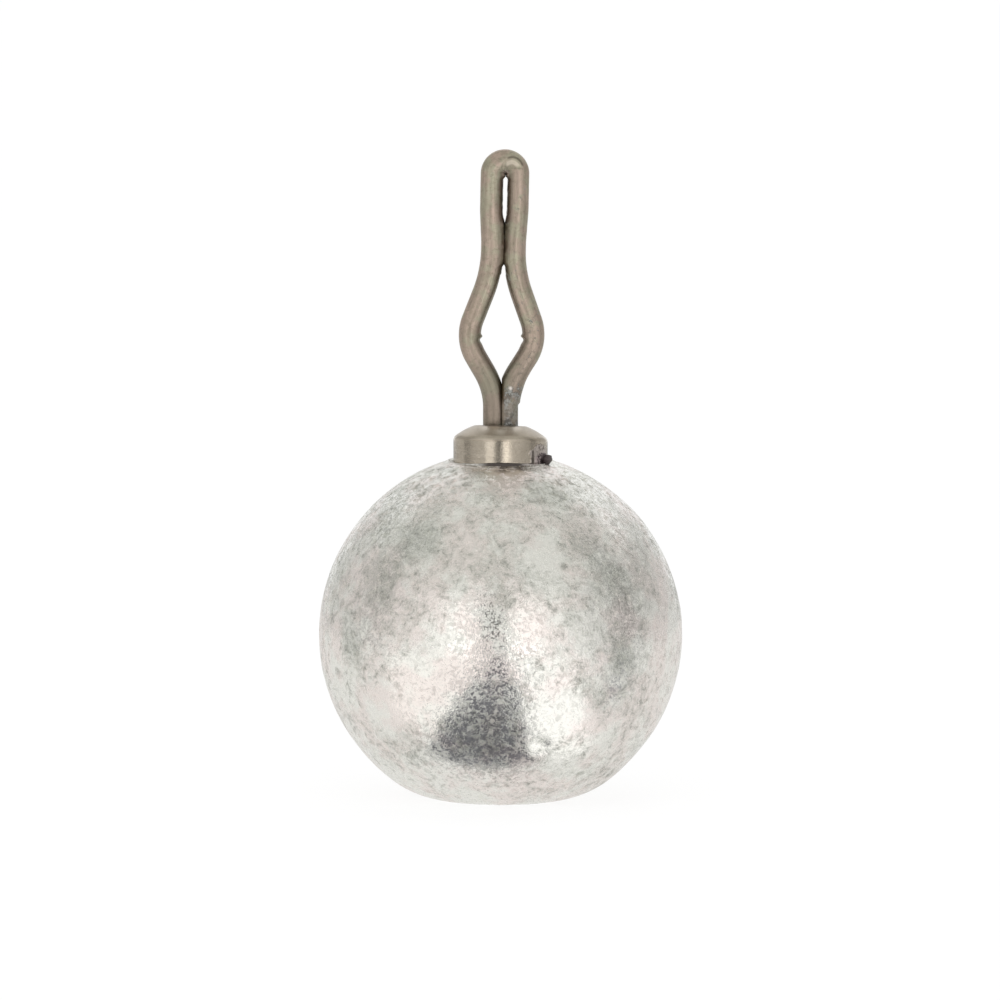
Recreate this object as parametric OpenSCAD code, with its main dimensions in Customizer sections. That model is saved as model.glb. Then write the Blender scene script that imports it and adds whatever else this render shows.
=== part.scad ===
// Round drop-shot fishing sinker: a ball that stands on a small flat, with a
// swivelling wire line clip. Millimetres, +Z up. The origin is the centre of the
// flat underneath the ball, and the line clip lies in the XZ plane.

/* [Ball] */
// Diameter of the ball
ball_d = 11.4; // [10.4:0.1:14]
// How much the flat underneath shortens the ball
base_cut = 0.55; // [0.4:0.05:0.8]
// Radius of the tumbled edge round the flat
base_edge_r = 2.95; // [1.5:0.05:3.2]
// Width of the chamfer at the mouth of the socket
mouth_chamfer = 0.1; // [0.06:0.02:0.16]
// Space left under the anchor eye in the socket
socket_floor_gap = 0.3; // [0.1:0.1:0.8]

/* [Swivel barrel] */
// Outside diameter of the barrel
barrel_d = 2.96; // [2.84:0.02:3.2]
// Length of the barrel over its domed ends
barrel_len = 4.5; // [4.1:0.1:5]
// Wall thickness of the barrel
barrel_wall = 0.36; // [0.3:0.02:0.42]
// Outside radius of the domed ends
dome_r = 2.28; // [2:0.02:2.6]
// Radius of the edge between dome and side
dome_edge_r = 0.28; // [0.16:0.02:0.4]
// Height of the upper dome above the ball's crown
barrel_proud = 0.97; // [0.8:0.01:1.3]
// Radial clearance of the wire shanks in the necks
neck_clearance = 0.05; // [0.03:0.01:0.08]

/* [Glue] */
// Thickness of the glue between barrel and socket
glue_gap = 0.06; // [0.04:0.01:0.12]
// Radius of the largest blob in the bead of glue beside the barrel
bead_r = 0.24; // [0.18:0.01:0.28]
// Angle that the bead covers round the barrel
bead_sweep = 44; // [30:2:60]
// Direction of the bead's middle, anticlockwise from +X
bead_angle = -24; // [-60:2:60]

/* [Wire] */
// Diameter of the wire of both eyes
wire_d = 0.7; // [0.6:0.02:0.74]
// Depth to which each leg's inner side is pressed flat against its twin
press_depth = 0.165; // [0.1:0.005:0.22]
// Width of the seam between two pressed legs
seam_gap = 0.03; // [0.02:0.01:0.06]
// Radial clearance of an upset head inside the barrel
head_clearance = 0.22; // [0.1:0.02:0.3]
// Thickness of an upset head at its rim
head_t = 0.5; // [0.3:0.05:0.6]
// Width of the chamfer round a head's back
head_chamfer = 0.2; // [0.1:0.05:0.25]
// Play of a head under the barrel's end wall
head_float = 0.05; // [0.03:0.01:0.1]

/* [Line clip] */
// Rise from the barrel's top to the bend where the legs part
foot_rise = 1.05; // [0.9:0.05:1.4]
// Rise from that bend to the widest point of the eye
lower_leg_rise = 1.535; // [1.4:0.005:1.9]
// Rise from the widest point to the bend under the pinch
upper_leg_rise = 2.1; // [1.9:0.02:2.7]
// Length over which the legs run side by side at the pinch
pinch_len = 0.98; // [0.8:0.02:1.4]
// Length over which the legs open again above the pinch
flare_len = 0.95; // [0.7:0.05:1.3]
// Length of the parallel slot above that
slot_len = 1.16; // [0.9:0.02:1.6]
// Distance from the axis to the corner of the wire's centre line at the eye
belly_spread = 1.133; // [1:0.001:1.3]
// Gap between the legs at the pinch
pinch_gap = 0.02; // [0.02:0.01:0.06]
// Gap between the legs in the slot
slot_w = 0.12; // [0.1:0.01:0.24]
// Bend radius of the wire's centre line where the legs part
foot_bend_r = 2.2; // [1.4:0.1:2.4]
// Bend radius of the centre line at the widest point
belly_bend_r = 1.35; // [0.8:0.05:1.6]
// Bend radius of the centre line under the pinch
pinch_bend_r = 3.9; // [2:0.1:4]
// Bend radius of the centre line above the pinch
nip_bend_r = 2; // [1:0.5:4]
// Sideways lean of the eye, set in by hand
eye_lean = 1.2; // [0:0.1:1.5]

/* [Anchor eye] */
// Thickness of the glue beside the eye
anchor_bedding = 0.39; // [0.2:0.01:0.5]
// Straight drop of its legs below the barrel
anchor_drop = 0.35; // [0.3:0.05:0.6]
// Height over which its legs spread to the full width
anchor_spread_h = 0.95; // [0.8:0.05:1.2]
// Height of its straight sides below that
anchor_side_h = 0.5; // [0.4:0.05:0.8]
// Bend radius of the centre line where its legs spread
anchor_bend_r = 0.5; // [0.4:0.05:0.6]

/* [Hidden] */
$fn = 96;
// Overrun of every cut past the face it opens
over = 0.2;
// A straight wire runs this far into the bend next to it
lap = 0.03;
// A bend is drawn this much thicker, so that it holds the end of the straight wire
bend_swell = 0.006;
// A rounded edge is drawn this much proud of the faces that it joins
edge_swell = 0.002;

ball_r = ball_d / 2;
ball_z = ball_r - base_cut;
crown_z = ball_z + ball_r;

barrel_r = barrel_d / 2;
barrel_top_z = crown_z + barrel_proud;
barrel_end_z = barrel_top_z - barrel_len;
barrel_mid_z = (barrel_top_z + barrel_end_z) / 2;
// Height of the upper dome's centre above the barrel's middle, and of the lower one's below it
dome_z = barrel_len / 2 - dome_r;
bore_r = barrel_r - barrel_wall;
bore_dome_r = dome_r - barrel_wall;

wire_r = wire_d / 2;
leg_x = wire_r - press_depth + seam_gap / 2;
neck_r = leg_x + wire_r + neck_clearance;
head_r = bore_r - head_clearance;
// Height of the head's back above the centre of the dome it bears on
head_back = sqrt(pow(bore_dome_r - head_float, 2) - pow(head_r, 2)) - head_t;
// Height above that centre at which the legs end, inside the head
leg_end = head_back + head_t / 2;
clip_leg_z = barrel_mid_z + dome_z + leg_end;
anchor_leg_z = barrel_mid_z - dome_z - leg_end;

pinch_x = (wire_d + pinch_gap) / 2;
slot_x = (wire_d + slot_w) / 2;
foot_z = barrel_top_z + foot_rise;
belly_z = foot_z + lower_leg_rise;
pinch_z = belly_z + upper_leg_rise;
nip_z = pinch_z + pinch_len;
flare_z = nip_z + flare_len;
crest_z = flare_z + slot_len;

socket_r = barrel_r + glue_gap;
mouth_z = ball_z + sqrt(pow(ball_r, 2) - pow(socket_r + mouth_chamfer, 2));
glue_top_z = mouth_z - mouth_chamfer / 2;
anchor_x = socket_r - anchor_bedding - wire_r;
anchor_foot_z = barrel_end_z - anchor_drop;
anchor_side_z = anchor_foot_z - anchor_spread_h;
anchor_bowl_z = anchor_side_z - anchor_side_h;
socket_floor_z = anchor_bowl_z - anchor_x - wire_r - socket_floor_gap;

// Blobs of the bead: share of its sweep, of bead_r, and of bead_r above the mouth
bead_blob_shares = [[0, 0.8, 1], [0.3, 0.72, 0.8], [0.62, 0.8, 1], [1, 1, 0.7]];
// Radius of the bead's foot as a share of bead_r
bead_foot_share = 0.6;

// Unleaned corners of the clip's right leg above the foot, and the bend at each corner
eye_corners = [
    [belly_spread, belly_z],
    [pinch_x, pinch_z],
    [pinch_x, nip_z],
    [slot_x, flare_z],
    [slot_x, crest_z]
];
clip_bends = [0, foot_bend_r, belly_bend_r, pinch_bend_r, nip_bend_r, nip_bend_r, 0];

// A point [x, z] turned about the foot with the eye's lean
function leaned(p) = [
    p[0] * cos(eye_lean) + (p[1] - foot_z) * sin(eye_lean),
    foot_z + (p[1] - foot_z) * cos(eye_lean) - p[0] * sin(eye_lean)
];
// Corners of the clip's leg on one side, which is 1 for the right and -1 for the left
function clip_leg(side) = concat(
    [[side * leg_x, clip_leg_z], [side * leg_x, foot_z]],
    [for (p = eye_corners) leaned([side * p[0], p[1]])]
);
function anchor_leg(side) = [
    [side * leg_x, anchor_leg_z],
    [side * leg_x, anchor_foot_z],
    [side * anchor_x, anchor_side_z],
    [side * anchor_x, anchor_bowl_z]
];
anchor_bends = [0, anchor_bend_r, anchor_bend_r, 0];

function heading(a, b) = atan2(b[1] - a[1], b[0] - a[0]);
function wrapped(angle) = angle > 180 ? angle - 360 : angle <= -180 ? angle + 360 : angle;
// Angle turned at corner i of a path, anticlockwise, and nothing at its ends
function turn(path, i) = i == 0 || i == len(path) - 1
    ? 0
    : wrapped(heading(path[i], path[i + 1]) - heading(path[i - 1], path[i]));
// Length that the bend at corner i takes off each side next to it
function setback(path, bends, i) = bends[i] * tan(abs(turn(path, i)) / 2);
// The point that lies this length from a on the way to b
function toward(a, b, length) = a + (b - a) * length / norm(b - a);

// Arc of wire in the XZ plane, from the angle first on through sweep
module wire_bend(centre, bend_r, first, sweep) {
    translate([centre[0], 0, centre[1]])
        rotate([90, 0, 0])
            rotate([0, 0, first])
                rotate_extrude(angle = sweep)
                    translate([bend_r, 0])
                        circle(d = wire_d + bend_swell);
}

// Round wire along a path of [x, z] corners, with a true arc at each bend
module bent_wire(path, bends) {
    for (i = [0:len(path) - 2]) {
        start = toward(path[i], path[i + 1], setback(path, bends, i) - lap);
        end = toward(path[i + 1], path[i], setback(path, bends, i + 1) - lap);
        translate([start[0], 0, start[1]])
            rotate([0, 90 - heading(start, end), 0])
                cylinder(d = wire_d, h = norm(end - start));
    }
    for (i = [1:len(path) - 2]) {
        side = sign(turn(path, i));
        way_in = heading(path[i - 1], path[i]);
        start = toward(path[i], path[i - 1], setback(path, bends, i));
        centre = start + bends[i] * side * [-sin(way_in), cos(way_in)];
        first = side > 0 ? way_in - 90 : way_in + 90 + turn(path, i);
        wire_bend(centre, bends[i], first, abs(turn(path, i)));
    }
}

// Takes away a leg's inner side between two heights, where it is pressed to its twin
module pressed_flat(side, low_z, high_z) {
    difference() {
        children();
        translate([side * (seam_gap - wire_d) / 2, 0, (low_z + high_z) / 2])
            cube([wire_d, 2 * wire_d, high_z - low_z], center = true);
    }
}

// Upset head under a dome whose centre is the origin: its top is parallel to the dome
module upset_head() {
    intersection() {
        sphere(r = bore_dome_r - head_float);
        translate([0, 0, head_back])
            cylinder(r = head_r, h = dome_r);
        translate([0, 0, head_back])
            cylinder(r1 = head_r - head_chamfer, r2 = head_r - head_chamfer + dome_r, h = dome_r);
    }
}

// Upper half of the barrel's outside in half section, from its middle up
module barrel_half_section() {
    // Centre of the edge's rounding, seen from the centre of the dome
    edge = [barrel_r - dome_edge_r,
        sqrt(pow(dome_r - dome_edge_r, 2) - pow(barrel_r - dome_edge_r, 2))];
    square([barrel_r, edge[1] + dome_z]);
    translate([0, dome_z]) {
        intersection() {
            circle(r = dome_r);
            polygon([[0, edge[1] / 2], [edge[0] / 2, edge[1] / 2], 2 * edge, [0, 2 * edge[1]]]);
        }
        translate(edge)
            circle(r = dome_edge_r + edge_swell);
    }
}

// Something in the barrel's upper half, drawn from the barrel's middle, and the same below
module at_both_ends() {
    translate([0, 0, barrel_mid_z])
        for (tilt = [0, 180])
            rotate([tilt, 0, 0])
                children();
}

// Barrel without its inside, which also shapes the space for it in the glue
module barrel_body() {
    at_both_ends()
        rotate_extrude()
            barrel_half_section();
}

// Space of the socket up to top_z, with the cone of its chamfered mouth
module socket_space(top_z) {
    chamfer_z = mouth_z - mouth_chamfer;
    translate([0, 0, socket_floor_z])
        cylinder(r = socket_r, h = top_z - socket_floor_z);
    translate([0, 0, chamfer_z])
        cylinder(r1 = socket_r, r2 = socket_r + top_z - chamfer_z, h = top_z - chamfer_z);
}

module ball() {
    // Centre of the tumbled edge's rounding, where it meets the ball, and a point beyond
    edge = [sqrt(pow(ball_r - base_edge_r, 2) - pow(ball_z - base_edge_r, 2)), base_edge_r];
    rim = [0, ball_z] + (edge - [0, ball_z]) * ball_r / (ball_r - base_edge_r);
    beyond = rim + (rim - edge);
    color([0.8, 0.79, 0.77])
        difference() {
            rotate_extrude() {
                intersection() {
                    translate([0, ball_z])
                        circle(r = ball_r);
                    polygon([[0, 0], [edge[0], 0], edge, beyond, [ball_d, beyond[1]],
                        [ball_d, crown_z + over], [0, crown_z + over]]);
                }
                intersection() {
                    translate(edge)
                        circle(r = base_edge_r + edge_swell);
                    square([ball_d, ball_z]);
                }
            }
            socket_space(crown_z + over);
        }
}

module swivel_barrel() {
    color([0.62, 0.58, 0.52])
        difference() {
            barrel_body();
            at_both_ends()
                intersection() {
                    cylinder(r = bore_r, h = barrel_len);
                    translate([0, 0, dome_z])
                        sphere(r = bore_dome_r);
                }
            translate([0, 0, barrel_mid_z])
                cylinder(r = neck_r, h = barrel_len + 2 * over, center = true);
        }
}

module line_clip() {
    color([0.6, 0.56, 0.5]) {
        for (side = [1, -1])
            pressed_flat(side, clip_leg_z - over, belly_z)
                bent_wire(clip_leg(side), clip_bends);
        wire_bend(leaned([0, crest_z]), slot_x, -eye_lean, 180);
        translate([0, 0, barrel_mid_z + dome_z])
            upset_head();
    }
}

module anchor_eye() {
    color([0.6, 0.56, 0.5]) {
        for (side = [1, -1])
            pressed_flat(side, anchor_side_z, anchor_leg_z + over)
                bent_wire(anchor_leg(side), anchor_bends);
        wire_bend([0, anchor_bowl_z], anchor_x, 180, 180);
        translate([0, 0, barrel_mid_z - dome_z])
            mirror([0, 0, 1])
                upset_head();
    }
}

// Bead of glue that was squeezed out beside the barrel: a foot along the mouth and blobs
module squeezed_bead() {
    translate([0, 0, mouth_z])
        rotate([0, 0, bead_angle - bead_sweep / 2]) {
            rotate_extrude(angle = bead_sweep)
                translate([socket_r, 0])
                    circle(r = bead_foot_share * bead_r);
            for (blob = bead_blob_shares)
                rotate([0, 0, blob[0] * bead_sweep])
                    translate([barrel_r, 0, blob[2] * bead_r])
                        sphere(r = blob[1] * bead_r);
        }
}

module glue() {
    color([0.35, 0.3, 0.26])
        difference() {
            union() {
                socket_space(glue_top_z);
                difference() {
                    squeezed_bead();
                    ball();
                }
            }
            barrel_body();
            anchor_eye();
        }
}

ball();
swivel_barrel();
line_clip();
anchor_eye();
glue();
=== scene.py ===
# %% [markdown]
# # A drop-shot sinker, dressed over its frame
# The object is a round weight for fishing: a ball of heavy metal, a small swivel barrel
# set into its top, and a bent wire that turns in the barrel and holds the line.
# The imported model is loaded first. It is the fixed frame: it says where each solid
# is, in metres, with +Z up and the flat under the ball on the ground. Everything
# below is made in the same place, so nothing has to be fitted afterwards.

# %% Load the frame
import math

import bmesh
import bpy
from mathutils import Matrix, Vector, noise


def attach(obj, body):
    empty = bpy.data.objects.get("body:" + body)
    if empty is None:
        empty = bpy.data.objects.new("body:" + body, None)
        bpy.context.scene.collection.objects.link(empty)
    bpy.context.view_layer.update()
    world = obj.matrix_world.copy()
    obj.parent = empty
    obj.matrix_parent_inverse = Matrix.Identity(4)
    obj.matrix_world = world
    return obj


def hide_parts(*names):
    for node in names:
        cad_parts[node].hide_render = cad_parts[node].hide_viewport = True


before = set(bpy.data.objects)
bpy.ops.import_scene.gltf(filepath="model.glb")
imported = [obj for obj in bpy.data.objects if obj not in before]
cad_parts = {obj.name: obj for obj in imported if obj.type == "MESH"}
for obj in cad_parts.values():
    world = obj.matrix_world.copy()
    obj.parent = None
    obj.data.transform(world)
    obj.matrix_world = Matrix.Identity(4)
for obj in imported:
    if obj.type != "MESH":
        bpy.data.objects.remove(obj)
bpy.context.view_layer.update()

MM = 0.001
print("CAD nodes:", sorted(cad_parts))

# %% [markdown]
# ## The sizes that the pieces share
# These repeat the named sizes of the CAD source, in millimetres. A learner's scene is
# easier to read in the unit the object was drawn in, so each mesh is drawn in
# millimetres and shrunk to metres in its last step. Here are the places where ball,
# barrel and glue meet. The sizes that only one piece has come with that piece.

# %% Sizes in millimetres
BALL_R, BALL_Z = 5.7, 5.15
SOCKET_R, SOCKET_FLOOR, MOUTH_R = 1.54, 4.07, 1.64
MOUTH_Z = BALL_Z + math.sqrt(BALL_R ** 2 - MOUTH_R ** 2)
BARREL_R, BARREL_MID, BARREL_TOP, DOME_OFF = 1.48, 9.57, 11.82, -0.03
print("mouth of the socket at", round(MOUTH_Z, 3), "mm above the flat")

# %% [markdown]
# ## Camera
# The photograph looks straight at the plane of the wire eye, from about 7 degrees
# above the horizon, through a long lens. A long lens a third of a metre away keeps the
# ball's outline round and the barrel's rim as flat as it is there. The distance is
# free, and the lens follows from it and from the 31.2 mm that the picture is wide.

# %% Camera
ELEVATION = math.radians(6.75)
PICTURE_WIDTH, DISTANCE, AIM = 1000 / 32.02, 350.0, Vector((-0.016, 0.0, 9.36))

lens = bpy.data.cameras.new("long_lens")
lens.sensor_width = 36.0
lens.lens = 36.0 * DISTANCE / PICTURE_WIDTH
camera = bpy.data.objects.new("camera", lens)
bpy.context.scene.collection.objects.link(camera)
camera.location = (AIM + DISTANCE * Vector((0, -math.cos(ELEVATION), math.sin(ELEVATION)))) * MM
camera.rotation_euler = (math.pi / 2 - ELEVATION, 0, 0)
lens.clip_start, lens.clip_end = 0.01, 100
bpy.context.scene.camera = camera
bpy.context.scene.view_settings.view_transform = "Standard"
print("lens", round(lens.lens), "mm")

# %% [markdown]
# ## Sums on sockets
# A procedural finish is mostly sums on values that change over the surface. Written
# as nodes they are long, so this small class wraps a socket and lets plain Python
# operators add the Math nodes. `1 - mask` works too, because the reflected forms are
# there. Everything that isn't a sum comes from `Finish.node`.

# %% A socket that can be used in sums
class Signal:
    """A socket of a node in a finish, which Python's own operators work on."""
    def __init__(self, finish, socket):
        self.finish, self.socket = finish, socket

    def math(self, operation, *values):
        return self.finish.node("ShaderNodeMath", {"operation": operation}, dict(enumerate(values)))

    def __add__(self, other):
        return self.math("ADD", self, other)

    def __sub__(self, other):
        return self.math("SUBTRACT", self, other)

    def __rsub__(self, other):
        return self.math("SUBTRACT", other, self)

    def __mul__(self, other):
        return self.math("MULTIPLY", self, other)

    def __abs__(self):
        return self.math("ABSOLUTE", self)

    __radd__, __rmul__ = __add__, __mul__

    def between(self, low, high):
        """0 below low, 1 above high, and a soft step between."""
        settings = {"interpolation_type": "SMOOTHSTEP"}
        return self.finish.node("ShaderNodeMapRange", settings, {0: self, 1: low, 2: high})

    def limited(self):
        return self.finish.node("ShaderNodeClamp", {}, {0: self})


# %% [markdown]
# ## Building a finish
# Every material here is worked out from the place on the object, in millimetres, so it
# needs no picture and no unwrapping, and it stays on the piece when the piece moves.
# This class adds the few kinds of nodes that the finishes use: a cloud of noise, a soft
# spot round a point, a mix of two colours, a bump with a depth in millimetres.

# %% A finish, which is a material that is being made
class Finish:
    """A material, its node tree, and the few ways in which nodes are added to it."""
    def __init__(self, name):
        self.material = bpy.data.materials.new(name)
        self.material.use_nodes = True
        self.tree = self.material.node_tree
        self.tree.nodes.clear()
        self.count = 0

    def node(self, kind, settings, inputs, output=0):
        """Adds a node: its settings first, then a value or a signal for each socket."""
        made = self.tree.nodes.new(kind)
        self.count += 1
        for key, value in settings.items():
            setattr(made, key, value)
        for key, value in inputs.items():
            if isinstance(value, Signal):
                self.tree.links.new(value.socket, made.inputs[key])
            else:
                made.inputs[key].default_value = value
        return Signal(self, made.outputs[output])

    def millimetres(self, stretch=(1, 1, 1)):
        """The place on the object in millimetres, or stretched for a pattern."""
        place = self.node("ShaderNodeTexCoord", {}, {}, "Object")
        scale = [1000 * s for s in stretch]
        return self.node("ShaderNodeMapping", {}, {"Vector": place, "Scale": scale})

    def cloud(self, place, scale, detail=3.0, rough=0.55, warp=0.0):
        """Soft noise about 0.5. The scale is in clouds to the millimetre."""
        return self.node("ShaderNodeTexNoise", {}, {
            "Vector": place, "Scale": scale, "Detail": detail, "Roughness": rough, "Distortion": warp})

    def attribute(self, name):
        """A vector stored on the vertices of the piece."""
        settings = {"attribute_type": "GEOMETRY", "attribute_name": name}
        return self.node("ShaderNodeAttribute", settings, {}, "Vector")

    def stretched(self, place, stretch):
        """A place that is stretched along its axes, which draws the noise out."""
        return self.node("ShaderNodeVectorMath", {"operation": "MULTIPLY"}, {0: place, 1: stretch})

    def parts(self, place):
        """The three parts of a place, each as a signal."""
        split = self.node("ShaderNodeSeparateXYZ", {}, {0: place})
        return [Signal(self, split.socket.node.outputs[k]) for k in range(3)]

    def distance(self, place, point):
        """How far a place is from a point of the object, in millimetres."""
        return self.node("ShaderNodeVectorMath", {"operation": "DISTANCE"}, {0: place, 1: point}, "Value")

    def near(self, place, point, size):
        """1 at a point of the object, falling softly to 0 at a distance in millimetres."""
        return 1 - self.distance(place, point).between(size * 0.25, size)

    def tint(self, share, low, high):
        """A colour between two colours or colour signals."""
        def full(c):
            return c if isinstance(c, Signal) else (*c, 1.0)
        settings = {"data_type": "RGBA", "blend_type": "MIX"}
        return self.node("ShaderNodeMix", settings, {0: share, 6: full(low), 7: full(high)}, 2)

    def relief(self, height, depth, under=None):
        """A bump whose depth is in millimetres, laid over another one."""
        inputs = {"Height": height, "Distance": depth * MM}
        if under is not None:
            inputs["Normal"] = under
        return self.node("ShaderNodeBump", {}, inputs)

    def done(self, **sockets):
        """Closes the material with one Principled shader."""
        names = {"colour": "Base Color", "roughness": "Roughness", "metallic": "Metallic",
                 "normal": "Normal", "specular": "Specular IOR Level"}
        inputs = {names[k]: v for k, v in sockets.items()}
        surface = self.node("ShaderNodeBsdfPrincipled", {}, inputs)
        self.node_output(surface)
        return self.material

    def node_output(self, surface):
        """Ends the material in a shader."""
        out = self.tree.nodes.new("ShaderNodeOutputMaterial")
        self.tree.links.new(surface.socket, out.inputs["Surface"])
        print("finish", self.material.name, "has", self.count, "nodes")


# %% [markdown]
# ## Floor, daylight and the studio round the object
# The photograph's background is plain white, so the floor and the world are white to
# the camera and to reflections, and the lamps stay at a plain level. A polished metal
# shows little but what stands round it: here a pale tent with two soft lamps in
# front, and a darker strip of table between them. A picture of a studio, wrapped round
# the world, could stand for all this. Plain screens are chosen instead, since each can
# be moved until its reflection sits where the photograph has it.

# %% White world
UNSEEN_SKY = 0.75
world = bpy.data.worlds.new("white_room")
world.use_nodes = True
bpy.context.scene.world = world
room = world.node_tree
room.nodes.clear()
path = room.nodes.new("ShaderNodeLightPath")
seen = path.outputs["Is Camera Ray"]
for ray in ("Is Glossy Ray", "Is Transmission Ray"):
    either = room.nodes.new("ShaderNodeMath")
    either.operation = "MAXIMUM"
    room.links.new(seen, either.inputs[0])
    room.links.new(path.outputs[ray], either.inputs[1])
    seen = either.outputs[0]
level = room.nodes.new("ShaderNodeMapRange")
level.inputs["To Min"].default_value = UNSEEN_SKY
level.inputs["To Max"].default_value = 1.0
room.links.new(seen, level.inputs["Value"])
sky = room.nodes.new("ShaderNodeBackground")
sky.inputs["Color"].default_value = (1, 1, 1, 1)
room.links.new(level.outputs[0], sky.inputs["Strength"])
out = room.nodes.new("ShaderNodeOutputWorld")
room.links.new(sky.outputs[0], out.inputs["Surface"])
print("world has", len(room.nodes), "nodes")


# %% [markdown]
# ## From drawing to object
# Every piece is drawn as a bmesh, Blender's mesh for editing, in millimetres. This
# helper shrinks it to metres, gives it a material and puts it in the scene. The object
# itself stays at the origin, unturned and unscaled, so the piece lies in the frame.

# %% A mesh from a bmesh in millimetres
def piece_from(bm, name, material, smooth=True):
    """Turns a bmesh in millimetres into an object in metres, with its material."""
    bmesh.ops.scale(bm, vec=(MM, MM, MM), verts=bm.verts)
    mesh = bpy.data.meshes.new(name)
    bm.to_mesh(mesh)
    bm.free()
    for face in mesh.polygons:
        face.use_smooth = smooth
    mesh.materials.append(material)
    made = bpy.data.objects.new(name, mesh)
    bpy.context.scene.collection.objects.link(made)
    print(name, len(mesh.polygons), "faces")
    return made


# %% [markdown]
# ## The floor
# The floor holds the soft shadow under the ball. To the camera and in reflections it
# glows almost white like the paper behind a product. To other rays it is plain pale
# grey, so it doesn't light the ball's underside more than paper would. The Light Path
# node tells a material which kind of ray asks, and that makes both possible.

# %% Floor
PAPER, FAINT, GLOW = 0.8, 0.22, 0.84
floor_finish = Finish("white_floor")
light_path = floor_finish.node("ShaderNodeLightPath", {}, {}, "Is Camera Ray")
glossy_path = Signal(floor_finish, light_path.socket.node.outputs["Is Glossy Ray"])
through_path = Signal(floor_finish, light_path.socket.node.outputs["Is Transmission Ray"])
shown = (light_path + glossy_path + through_path).limited()
pale = floor_finish.node("ShaderNodeBsdfDiffuse", {}, {"Color": (PAPER, PAPER, PAPER, 1)})
faint = floor_finish.node("ShaderNodeBsdfDiffuse", {}, {"Color": (FAINT, FAINT, FAINT, 1)})
glow = floor_finish.node("ShaderNodeEmission", {}, {"Color": (1, 1, 1, 1), "Strength": GLOW})
white = floor_finish.node("ShaderNodeAddShader", {}, {0: faint, 1: glow})
floor_finish.node_output(floor_finish.node("ShaderNodeMixShader", {}, {0: shown, 1: pale, 2: white}))

bm = bmesh.new()
bmesh.ops.create_grid(bm, x_segments=1, y_segments=1, size=2500)
floor = piece_from(bm, "floor", floor_finish.material, smooth=False)


# %% [markdown]
# The tent is paper and lamps round the object. Here it is made of screens that only
# reflections see, since they must not light or hide anything. Each is an edge, given by
# the radius and the height of its two ends, and spun between two azimuths. Azimuth 0
# is the camera's side and 90 is the right. The front wings fade towards the sides, and
# a dim seam on each side parts the front of the tent from its back.

# %% Screens
def seen_in_reflections(bm, name, colour):
    """Makes a mesh glow in one colour, for reflections alone."""
    finish = Finish(name + "_paint")
    finish.node_output(finish.node("ShaderNodeEmission", {}, {"Color": (*colour, 1), "Strength": 1.0}))
    made = piece_from(bm, name, finish.material, smooth=False)
    made.visible_camera = made.visible_diffuse = made.visible_shadow = False
    made.visible_transmission = made.visible_volume_scatter = False


def screen(name, colour, first, last, low, high):
    """Spins an edge between two azimuths. Its ends are given as radius and height."""
    bm = bmesh.new()
    ends = [bm.verts.new((0, -radius, height)) for radius, height in (low, high)]
    edges = [bm.edges.new(ends)]
    bmesh.ops.rotate(bm, cent=(0, 0, 0), matrix=Matrix.Rotation(math.radians(first), 3, "Z"), verts=ends)
    steps = max(1, round((last - first) / 6))
    for _ in range(steps):
        grown = bmesh.ops.extrude_edge_only(bm, edges=edges)["geom"]
        ends = [g for g in grown if isinstance(g, bmesh.types.BMVert)]
        edges = [g for g in grown if isinstance(g, bmesh.types.BMEdge) and set(g.verts) == set(ends)]
        turn = Matrix.Rotation(math.radians((last - first) / steps), 3, "Z")
        bmesh.ops.rotate(bm, cent=(0, 0, 0), matrix=turn, verts=ends)
    seen_in_reflections(bm, name, colour)


def sheet(name, colour, points):
    """One flat face through the points."""
    bm = bmesh.new()
    bmesh.ops.contextual_create(bm, geom=[bm.verts.new(point) for point in points])
    seen_in_reflections(bm, name, colour)


TENT_R, ROOF = 150, 90
# The walls of the tent: first and last azimuth, and how bright each is low and high
for name, first, last, low_level, high_level in (
        ("left_back", -152, -99, 0.66, 0.63), ("left_seam", -99, -82, 0.50, 0.44),
        ("left_wing", -82, -62, 0.80, 0.68),
        ("left_panel", -62, -45, 0.88, 0.84), ("left_window", -45, -32, 1.00, 0.96),
        ("left_strip", -32, -12, 1.18, 1.10), ("camera_gap", -12, 2, 0.17, 0.17),
        ("right_strip", 2, 26, 1.20, 1.12), ("right_window", 26, 41, 0.97, 0.93),
        ("right_panel", 41, 58, 0.80, 0.79), ("right_wing", 58, 80, 0.68, 0.60),
        ("right_seam", 80, 98, 0.37, 0.34), ("right_back", 98, 152, 0.60, 0.58)):
    for part, level, low, high in (("low", low_level, 0, 42), ("high", high_level, 42, ROOF)):
        colour = (level, level * 0.99, level * 0.965)
        screen(name + "_" + part, colour, first, last, (TENT_R, low), (TENT_R, high))
sheet("tent_roof", (0.71, 0.71, 0.68),
      [(-165, -172, ROOF), (165, -172, ROOF), (165, 60, ROOF), (-165, 60, ROOF)])
for name, colour, first, last, near, far in (
        ("left_roof_seam", (0.50, 0.50, 0.48), -102, -80, 62, TENT_R),
        ("right_roof_seam", (0.44, 0.44, 0.43), 78, 101, 62, TENT_R),
        ("left_roof_glow", (0.82, 0.82, 0.79), -30, -12, 88, 171),
        ("right_roof_glow", (0.84, 0.84, 0.82), 3, 26, 88, 171)):
    screen(name, colour, first, last, (near, ROOF - 1), (far, ROOF - 1))

# %% [markdown]
# The table reflects too. Close to the ball it shows a dark wedge, a painted shadow: a dark
# sheet laid where the camera's shadow falls on the table, with a bright patch on each side.
# Further out it is only seen in the upright sides of the barrel and the wire, and the same
# lamps stand in it as bands.

# %% Table
screen("near_table", (0.81, 0.805, 0.785), -180, 180, (2.2, 0.01), (70, 0.01))
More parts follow.
